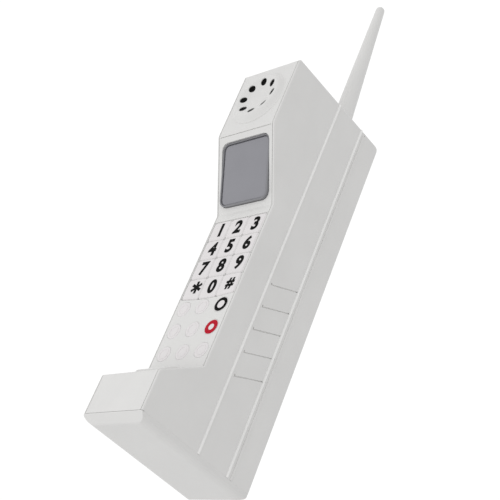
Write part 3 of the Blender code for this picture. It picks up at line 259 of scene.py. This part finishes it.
def board(name, color):
    """Solder mask over copper tracks: bands of copper show through, with a woven ground."""
    look = Look(name, color, 0.35)
    weave = look.node("ShaderNodeTexChecker")
    weave.inputs["Scale"].default_value = 1.0 / (0.6 * MM)
    look.join(look.place, weave.inputs["Vector"])
    tracks = look.node("ShaderNodeTexBrick", offset=0.35, squash=1.6)
    tracks.inputs["Scale"].default_value = 1.0 / (9.0 * MM)
    tracks.inputs["Mortar Size"].default_value = 0.06
    turned = look.node("ShaderNodeMapping")
    turned.inputs["Rotation"].default_value = (math.radians(90), 0, 0)
    look.join(look.place, turned.inputs["Vector"])
    look.join(turned.outputs["Vector"], tracks.inputs["Vector"])
    ground = look.mix(weave.outputs["Fac"], shade(color, 0.92), shade(color, 1.08))
    tone = look.mix(tracks.outputs["Fac"], ground, shade(color, 1.9))
    rough = look.ramp(look.noise(2, 3), 0.28, 0.42)
    return look.finish(tone, rough, look.bump(tracks.outputs["Fac"], 0.04))


def paper_cone(name, color):
    look = Look(name, color, 0.9)
    fibre = look.noise(0.8, 5, 0.7)
    tone = look.mix(fibre, shade(color, 0.7), shade(color, 1.5))
    return look.finish(tone, None, look.bump(fibre, 0.06))


def sleeve(name, color, band):
    """Printed cell sleeve: a copper-coloured band over one third of the length."""
    look = Look(name, color, 0.3)
    parts = look.node("ShaderNodeSeparateXYZ")
    look.join(look.place, parts.inputs["Vector"])
    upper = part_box("battery_1")[1]
    top_band = look.ramp(parts.outputs["Z"], 0.0, 1.0, upper.z - 14 * MM, upper.z - 13.8 * MM)
    scuff = look.noise(6, 4, 0.6)
    tone = look.mix(top_band, color, band)
    tone = look.mix(look.ramp(scuff, 0.0, 0.3, 0.5, 0.8), tone, (0.5, 0.5, 0.5))
    return look.finish(tone, look.ramp(scuff, 0.22, 0.4), look.bump(look.noise(2, 3), 0.015))


def clear_epoxy(name, color):
    look = Look(name, color, 0.08)
    look.shader.inputs["Transmission Weight"].default_value = 0.6
    haze = look.noise(1.2, 3)
    return look.finish(look.mix(haze, color, shade(color, 0.9)), look.ramp(haze, 0.05, 0.15), None)


def insulation(name, color):
    look = Look(name, color, 0.45)
    scuff = look.noise(2, 3)
    tone = look.mix(look.ramp(scuff, 0.0, 0.5, 0.5, 0.8), color, shade(color, 1.4))
    return look.finish(tone, look.ramp(scuff, 0.38, 0.55), look.bump(scuff, 0.01))


CASE_COLOR = (0.77, 0.765, 0.755)
KEY_COLOR = (0.80, 0.775, 0.78)
looks = {
    "case_plastic": moulded("case_plastic", CASE_COLOR, 0.42),
    "key_plastic": moulded("key_plastic", KEY_COLOR, 0.36, 0.006, 0.35),
    "bezel_plastic": moulded("bezel_plastic", (0.235, 0.235, 0.25), 0.34, 0.006, 0.3),
    "lens_plastic": glossy_lens("lens_plastic", (0.262, 0.262, 0.288)),
    "screen_card": paper_cone("screen_card", (0.27, 0.27, 0.3)),
    "grey_rubber": rubber("grey_rubber", (0.3, 0.3, 0.31)),
    "circuit_board": board("circuit_board", (0.04, 0.2, 0.09)),
    "black_plastic": moulded("black_plastic", (0.025, 0.025, 0.027), 0.4, 0.01, 0.2),
    "speaker_paper": paper_cone("speaker_paper", (0.05, 0.05, 0.05)),
    "steel": metal("steel", (0.62, 0.62, 0.62), 0.3),
    "nickel": metal("nickel", (0.72, 0.7, 0.66), 0.2),
    "cell_sleeve": sleeve("cell_sleeve", (0.03, 0.06, 0.12), (0.42, 0.2, 0.08)),
    "led_clear": clear_epoxy("led_clear", (0.85, 0.88, 0.85)),
    "red_insulation": insulation("red_insulation", (0.5, 0.03, 0.03)),
    "black_insulation": insulation("black_insulation", (0.02, 0.02, 0.02)),
}
cloth = plain_ink("ear_cloth", (0.002, 0.002, 0.002))
black_ink = plain_ink("black_ink", (0.002, 0.002, 0.002))
# Painted highlight: the beads are the case's own plastic, painted lighter than the case to stand in
# for the light that falls on them from the front
bead_painted_highlight_look = moulded("bead_painted_highlight", (0.93, 0.925, 0.915), 0.35, 0.006, 0.3)
red_ink = plain_ink("red_ink", (0.5, 0.01, 0.028))

for entry in frame["record"]["subparts"]:
    mesh = nodes[entry["node"]].data
    mesh.materials.clear()
    mesh.materials.append(looks[entry["material_slot"]])


# Pieces ------------------------------------------------------------------

def new_piece(name, bm, look, body):
    bmesh.ops.recalc_face_normals(bm, faces=bm.faces)
    mesh = bpy.data.meshes.new(name)
    bm.to_mesh(mesh)
    bm.free()
    mesh.materials.append(look)
    mesh.shade_smooth()
    mesh.set_sharp_from_angle(angle=math.radians(35))
    piece = bpy.data.objects.new(name, mesh)
    bpy.context.scene.collection.objects.link(piece)
    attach(piece, body)
    return piece


def ring(bm, centre, outer, inner, low, high, segments=48):
    """Flat ring around -Y from depth low to depth high, as one closed skin with soft rims."""
    soft = min(high - low, (outer - inner) * 0.25)
    profile = [(inner, low), (outer, low), (outer, high - soft * 0.6), (outer - soft * 0.6, high),
               (inner + soft * 0.6, high), (inner, high - soft * 0.6)]
    loops = []
    for radius, rise in profile:
        loop = []
        for i in range(segments):
            angle = 2 * math.pi * i / segments
            loop.append(bm.verts.new(centre + Vector((radius * math.cos(angle), -rise,
                                                      radius * math.sin(angle)))))
        loops.append(loop)
    for near, far in zip(loops, loops[1:] + loops[:1]):
        for i in range(segments):
            j = (i + 1) % segments
            bm.faces.new((near[i], near[j], far[j], far[i]))


def key_face(node):
    """Centre of a key's front face."""
    low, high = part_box(node)
    middle = (low + high) / 2
    return Vector((middle.x, low.y, middle.z))


def figure(name, text, node, height, look):
    """Printed figure on a key: the built-in typeface, thickened, as a thin solid of ink."""
    letter = bpy.data.curves.new(name, "FONT")
    letter.body = text
    letter.size = 1.0
    letter.offset = LETTER_WEIGHT
    letter.resolution_u = 5
    guide = bpy.data.objects.new(name + "_guide", letter)
    bpy.context.scene.collection.objects.link(guide)
    bpy.context.view_layer.update()
    evaluated = guide.evaluated_get(bpy.context.evaluated_depsgraph_get())
    mesh = bpy.data.meshes.new_from_object(evaluated)
    bpy.data.objects.remove(guide)
    bm = bmesh.new()
    bm.from_mesh(mesh)
    bmesh.ops.remove_doubles(bm, verts=bm.verts, dist=0.0005)
    low = Vector([min(v.co[i] for v in bm.verts) for i in range(3)])
    high = Vector([max(v.co[i] for v in bm.verts) for i in range(3)])
    scale = height / (high.y - low.y)
    centre = key_face(node)
    for vert in bm.verts:
        flat = (vert.co - (low + high) / 2) * scale
        vert.co = centre + MARK_SHIFT + Vector((flat.x * DIGIT_NARROW, MARK_SINK, flat.y))
    thicken(bm)
    return new_piece(name, bm, look, node)


def thicken(bm):
    """Turn a flat figure that lies just under the key's face into a thin solid of ink."""
    grown = bmesh.ops.extrude_face_region(bm, geom=bm.faces[:])
    moved = [item for item in grown["geom"] if isinstance(item, bmesh.types.BMVert)]
    bmesh.ops.translate(bm, verts=moved, vec=(0, -INK - MARK_SINK, 0))


def star(name, node, look, radius, half_arm):
    """Printed asterisk with plain square-ended arms."""
    bm = bmesh.new()
    centre = key_face(node) + MARK_SHIFT + STAR_SHIFT + Vector((0, MARK_SINK, 0))
    step = 2 * math.pi / STAR_ARMS
    notch = half_arm / math.sin(step / 2)
    outline = []
    for i in range(STAR_ARMS):
        angle = math.pi / 2 + i * step
        along = Vector((math.cos(angle), 0, math.sin(angle)))
        across = Vector((-math.sin(angle), 0, math.cos(angle)))
        bay = Vector((math.cos(angle - step / 2), 0, math.sin(angle - step / 2)))
        outline.append(centre + bay * notch)
        outline.append(centre + along * radius - across * half_arm * 1.15)
        outline.append(centre + along * radius + across * half_arm * 1.15)
    rim = [bm.verts.new(point) for point in outline]
    hub = bm.verts.new(centre)
    for near, far in zip(rim, rim[1:] + rim[:1]):
        bm.faces.new((near, far, hub))
    thicken(bm)
    return new_piece(name, bm, look, node)


for label, text in NUMBER_MARKS.items():
    height = DIGIT_HEIGHT * (HASH_SIZE if label == "hash" else 1.0)
    figure(f"figure_{label}", text, f"key_{label}", height, black_ink)
star("figure_star", "key_star", black_ink, STAR_RADIUS, STAR_HALF_ARM)

bm = bmesh.new()
ring(bm, key_face("key_call") + RING_SHIFT, RING_OUTER, CALL_RING_INNER, -MARK_SINK, INK)
new_piece("ring_call", bm, black_ink, "key_call")
bm = bmesh.new()
ring(bm, key_face("key_end") + RING_SHIFT, RING_OUTER, END_RING_INNER, -MARK_SINK, INK)
new_piece("ring_end", bm, red_ink, "key_end")

for label in PLAIN_ROUND_KEYS:
    bm = bmesh.new()
    ring(bm, key_face(f"key_{label}"), PLAIN_RING_OUTER, PLAIN_RING_INNER, -MARK_SINK, EMBOSS)
    new_piece(f"ring_{label}", bm, looks["key_plastic"], f"key_{label}")


def sweep(bm, path, outline):
    """Closed skin of an outline carried along a path of places (point, across, out)."""
    rings = []
    for point, across, out in path:
        rings.append([bm.verts.new(point + across * a + out * b) for a, b in outline])
    count = len(outline)
    for near, far in zip(rings, rings[1:]):
        for i in range(count):
            j = (i + 1) % count
            bm.faces.new((near[i], near[j], far[j], far[i]))
    bm.faces.new(rings[0])
    bm.faces.new(rings[-1])


def side_bead(name, seam_y, inward):
    """Half-round bead up both side walls, over the seam between two case sections."""
    low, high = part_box("middle_frame")
    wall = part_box("front_shell")[1].x
    middle = seam_y + inward * BEAD_SHIFT
    arc = [math.pi * i / 8 for i in range(9)]
    outline = [(BEAD_HALF * math.cos(a), BEAD_RISE * math.sin(a)) for a in arc]
    outline = [(BEAD_HALF, -BEAD_ROOT)] + outline + [(-BEAD_HALF, -BEAD_ROOT)]
    for side, word in ((-1, "left"), (1, "right")):
        out = Vector((side, 0, 0))
        across = Vector((0, 1, 0))
        bm = bmesh.new()
        levels = [low.z + 0.05 * MM, low.z + 0.5 * MM, high.z - 0.9 * MM, high.z - 0.3 * MM]
        sinks = [0.35 * MM, 0.0, 0.0, 0.35 * MM]
        path = [(Vector((side * (wall - sink), middle, z)), across, out)
                for z, sink in zip(levels, sinks)]
        sweep(bm, path, outline)
        # the bead's lighter colour is a painted highlight, not a different plastic
        new_piece(f"{name}_{word}", bm, bead_painted_highlight_look, "case")


def tongues():
    """Lip of the base that shows in the seam above it, and the lips in the two top seams."""
    low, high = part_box("back_cover")
    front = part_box("front_shell")[0]
    level = front.z - SEAM / 2
    half = SEAM / 2 + 0.02 * MM
    out = TONGUE_SINK
    round_edge = 1.0 * MM
    wall = high.x - out
    back = high.y - out
    path = [(Vector((-wall, front.y + 3.0 * MM, level)), Vector((0, 0, 1)), Vector((-1, 0, 0)))]
    turns = [math.radians(18) * i for i in range(6)]
    for turn in turns:
        outward = Vector((-math.cos(turn), math.sin(turn), 0))
        path.append((Vector((-wall + round_edge, back - round_edge, level)) + outward * round_edge,
                     Vector((0, 0, 1)), outward))
    for turn in turns:
        outward = Vector((math.sin(turn), math.cos(turn), 0))
        path.append((Vector((wall - round_edge, back - round_edge, level)) + outward * round_edge,
                     Vector((0, 0, 1)), outward))
    path.append((Vector((wall, front.y + 3.0 * MM, level)), Vector((0, 0, 1)), Vector((1, 0, 0))))
    outline = [(-half, -0.8 * MM), (-half, -0.05 * MM), (-half * 0.6, 0), (half * 0.6, 0),
               (half, -0.05 * MM), (half, -0.8 * MM)]
    bm = bmesh.new()
    sweep(bm, path, outline)
    new_piece("base_tongue", bm, looks["case_plastic"], "case")
    top = high.z - out
    for name, y in (("front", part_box("front_shell")[1].y + SEAM / 2), ("back", low.y - SEAM / 2)):
        bm = bmesh.new()
        path = [(Vector((x, y, top)), Vector((0, 1, 0)), Vector((0, 0, 1)))
                for x in (-wall + round_edge, wall - round_edge)]
        sweep(bm, path, outline)
        new_piece(f"top_tongue_{name}", bm, looks["case_plastic"], "case")


def door_ridges():
    """Thumb grip above the door's middle and a plain arrowhead that points the way it opens."""
    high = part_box("battery_door")[1]
    ridge = [(-0.45 * MM, -0.3 * MM), (-0.45 * MM, 0.0), (-0.2 * MM, 0.3 * MM),
             (0.2 * MM, 0.3 * MM), (0.45 * MM, 0.0), (0.45 * MM, -0.3 * MM)]
    first = high.z - 16 * MM
    for index in range(DOOR_RIDGES):
        z = first - index * RIDGE_PITCH
        reach = 7.0 * MM - index * 0.4 * MM
        bm = bmesh.new()
        path = [(Vector((x, high.y - sink, z)), Vector((0, 0, 1)), Vector((0, 1, 0)))
                for x, sink in ((-reach, 0.28 * MM), (-reach + 0.5 * MM, 0), (reach - 0.5 * MM, 0),
                                (reach, 0.28 * MM))]
        sweep(bm, path, ridge)
        new_piece(f"door_ridge_{index + 1}", bm, looks["case_plastic"], "door")
    bm = bmesh.new()
    tip = Vector((0, high.y - 0.1 * MM, first - DOOR_RIDGES * RIDGE_PITCH - 5.5 * MM))
    flat = [tip, tip + Vector((-3.2, 0, 4.4)) * MM, tip + Vector((3.2, 0, 4.4)) * MM]
    skins = []
    for rise, inset in ((0.0, 0.0), (0.25, 0.0), (0.35, 0.12)):
        middle = sum(flat, Vector()) / 3
        skins.append([bm.verts.new(point.lerp(middle, inset) + Vector((0, rise * MM, 0)))
                      for point in flat])
    for near, far in zip(skins, skins[1:]):
        for i in range(3):
            j = (i + 1) % 3
            bm.faces.new((near[i], near[j], far[j], far[i]))
    bm.faces.new(skins[0])
    bm.faces.new(skins[-1])
    new_piece("door_arrow", bm, looks["case_plastic"], "door")


def key_ribs():
    """Ribs of the shell that stand between the number keys, a little below their tops."""
    first = key_face("key_1")
    last = key_face("key_hash")
    pitch_x = key_face("key_2").x - first.x
    pitch_z = first.z - key_face("key_4").z
    top = first.y + RIB_DROP
    half = pitch_x / 2
    edge = 0.08 * MM
    profile = [(-RIB_HALF, RIB_DEPTH), (-RIB_HALF, edge), (-RIB_HALF + edge, 0),
               (RIB_HALF - edge, 0), (RIB_HALF, edge), (RIB_HALF, RIB_DEPTH)]
    for row in range(4):
        z = first.z - (row - 0.5) * pitch_z
        bm = bmesh.new()
        path = [(Vector((x, top, z)), Vector((0, 0, 1)), Vector((0, 1, 0)))
                for x in (first.x - half, last.x + half)]
        sweep(bm, path, profile)
        new_piece(f"key_rib_{row}", bm, looks["case_plastic"], "case")
    for column, word in ((-3, "far_left"), (-1, "left"), (1, "right"), (3, "far_right")):
        x = column * half
        bm = bmesh.new()
        path = [(Vector((x, top + 0.02 * MM, z)), Vector((1, 0, 0)), Vector((0, 1, 0)))
                for z in (last.z - half + 0.6 * MM, first.z + half)]
        sweep(bm, path, profile)
        new_piece(f"key_rib_{word}", bm, looks["case_plastic"], "case")


def round_skirts():
    """Collar of the shell around each round key, almost level with the panel."""
    for label in PLAIN_ROUND_KEYS + ("call", "end"):
        low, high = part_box(f"key_{label}")
        centre = Vector(((low.x + high.x) / 2, PANEL_Y, (low.z + high.z) / 2))
        bm = bmesh.new()
        ring(bm, centre, ROUND_RADIUS + 0.28 * MM, ROUND_RADIUS + 0.03 * MM, -0.9 * MM, -0.06 * MM)
        new_piece(f"collar_{label}", bm, looks["case_plastic"], "case")


def dish_height(radius):
    """Height of the ear cup's dish above the panel, as it was moulded."""
    foot = DISH_FLOOR_RADIUS + 1.8 * MM
    top = EAR_RIM_RADIUS - 0.7 * MM
    share = (radius - foot) / (top - foot)
    return EAR_DISH + 0.3 * MM + (EAR_RIM - EAR_DISH - 0.42 * MM) * share


def ear_cloth():
    """Black acoustic cloth just inside each of the ear cup's holes."""
    around = 20
    for index in range(EAR_HOLES):
        turn = 2 * math.pi * index / EAR_HOLES
        middle = EAR_CENTRE + Vector((math.cos(turn), 0, math.sin(turn))) * EAR_HOLE_RING
        bm = bmesh.new()
        loops = []
        for depth, scales in ((CLOTH_DEPTH + 0.6 * MM, (0.05, 0.6, 1.0)),
                              (CLOTH_DEPTH, (1.0, 0.6, 0.05))):
            for scale in scales:
                loop = []
                for i in range(around):
                    angle = 2 * math.pi * i / around
                    outward = Vector((math.cos(angle), 0, math.sin(angle)))
                    point = middle + outward * (CLOTH_RADIUS * scale)
                    rise = dish_height((point - EAR_CENTRE).length) - depth
                    loop.append(bm.verts.new(point - Vector((0, rise, 0))))
                loops.append(loop)
        for near, far in zip(loops, loops[1:]):
            for i in range(around):
                j = (i + 1) % around
                bm.faces.new((near[i], near[j], far[j], far[i]))
        bm.faces.new(loops[0])
        bm.faces.new(loops[-1])
        new_piece(f"ear_cloth_{index + 1}", bm, cloth, "case")


def beads():
    """Beads over the two upright seams."""
    front_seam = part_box("front_shell")[1].y + SEAM / 2
    back_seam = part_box("back_cover")[0].y - SEAM / 2
    side_bead("front_bead", front_seam, 1)
    side_bead("back_bead", back_seam, -1)


beads()
tongues()
door_ridges()
key_ribs()
round_skirts()
ear_cloth()


# Studio ------------------------------------------------------------------

def soft_light(name, place, target, size, power):
    light = bpy.data.lights.new(name, "AREA")
    light.shape = "DISK"
    light.size = size
    light.energy = power
    holder = bpy.data.objects.new(name, light)
    holder.location = place
    holder.rotation_euler = (Vector(target) - Vector(place)).to_track_quat("-Z", "Y").to_euler()
    bpy.context.scene.collection.objects.link(holder)


def camera_direction():
    return Vector((-math.sin(CAMERA_HEADING) * math.cos(CAMERA_RISE),
                   math.cos(CAMERA_HEADING) * math.cos(CAMERA_RISE), math.sin(CAMERA_RISE)))


def studio():
    world = bpy.data.worlds.new("studio")
    world.use_nodes = True
    tree = world.node_tree
    direction = tree.nodes.new("ShaderNodeTexCoord").outputs["Generated"]
    slope = tree.nodes.new("ShaderNodeVectorMath")
    slope.operation = "DOT_PRODUCT"
    slope.inputs[1].default_value = STUDIO_SLOPE
    tree.links.new(direction, slope.inputs[0])
    level = tree.nodes.new("ShaderNodeMath")
    level.inputs[1].default_value = STUDIO_LEVEL
    tree.links.new(slope.outputs["Value"], level.inputs[0])
    toward = tree.nodes.new("ShaderNodeVectorMath")
    toward.operation = "DOT_PRODUCT"
    toward.inputs[1].default_value = camera_direction()
    tree.links.new(direction, toward.inputs[0])
    lit = tree.nodes.new("ShaderNodeMapRange")
    lit.interpolation_type = "SMOOTHSTEP"
    lit.inputs["From Min"].default_value = BACKDROP_EDGE[0]
    lit.inputs["From Max"].default_value = BACKDROP_EDGE[1]
    tree.links.new(toward.outputs["Value"], lit.inputs["Value"])
    strength = tree.nodes.new("ShaderNodeMix")
    strength.inputs["B"].default_value = BACKDROP_LEVEL
    tree.links.new(lit.outputs["Result"], strength.inputs["Factor"])
    tree.links.new(level.outputs["Value"], strength.inputs["A"])
    tree.links.new(strength.outputs["Result"], tree.nodes["Background"].inputs["Strength"])
    tree.nodes["Background"].inputs["Color"].default_value = (1.0, 1.0, 1.0, 1.0)
    bpy.context.scene.world = world
    soft_light("front_light", (-0.2, -0.75, -0.65), (0, 0, 0.15), 0.6, 1.5)
    bpy.context.scene.view_settings.view_transform = "Standard"


def floor():
    """Pale floor that is seen only from above, so that a low camera can look up past it."""
    bm = bmesh.new()
    bmesh.ops.create_circle(bm, cap_ends=True, segments=96, radius=3.0)
    mesh = bpy.data.meshes.new("floor")
    bm.to_mesh(mesh)
    bm.free()
    look = Look("floor", (0.9, 0.9, 0.9), 0.6)
    tone = look.mix(look.noise(60, 3), (0.89, 0.89, 0.89), (0.92, 0.92, 0.92))
    look.finish(tone)
    clear = look.node("ShaderNodeBsdfTransparent")
    choice = look.node("ShaderNodeMixShader")
    look.join(look.node("ShaderNodeNewGeometry").outputs["Backfacing"], choice.inputs[0])
    look.join(look.shader.outputs["BSDF"], choice.inputs[1])
    look.join(clear.outputs["BSDF"], choice.inputs[2])
    look.join(choice.outputs["Shader"], look.tree.nodes["Material Output"].inputs["Surface"])
    mesh.materials.append(look.material)
    ground = bpy.data.objects.new("floor", mesh)
    ground.location.z = -0.3 * MM
    ground.visible_diffuse = False
    ground.visible_glossy = False
    ground.visible_shadow = False
    bpy.context.scene.collection.objects.link(ground)


def camera():
    data = bpy.data.cameras.new("camera")
    data.lens = CAMERA_LENS
    data.clip_start = 0.01
    holder = bpy.data.objects.new("camera", data)
    aim = camera_direction().to_track_quat("-Z", "Y").to_matrix()
    turn = aim @ Matrix.Rotation(CAMERA_ROLL, 3, "Z")
    holder.location = CAMERA_PLACE
    holder.rotation_euler = turn.to_euler()
    bpy.context.scene.collection.objects.link(holder)
    bpy.context.scene.camera = holder


studio()
floor()
camera()
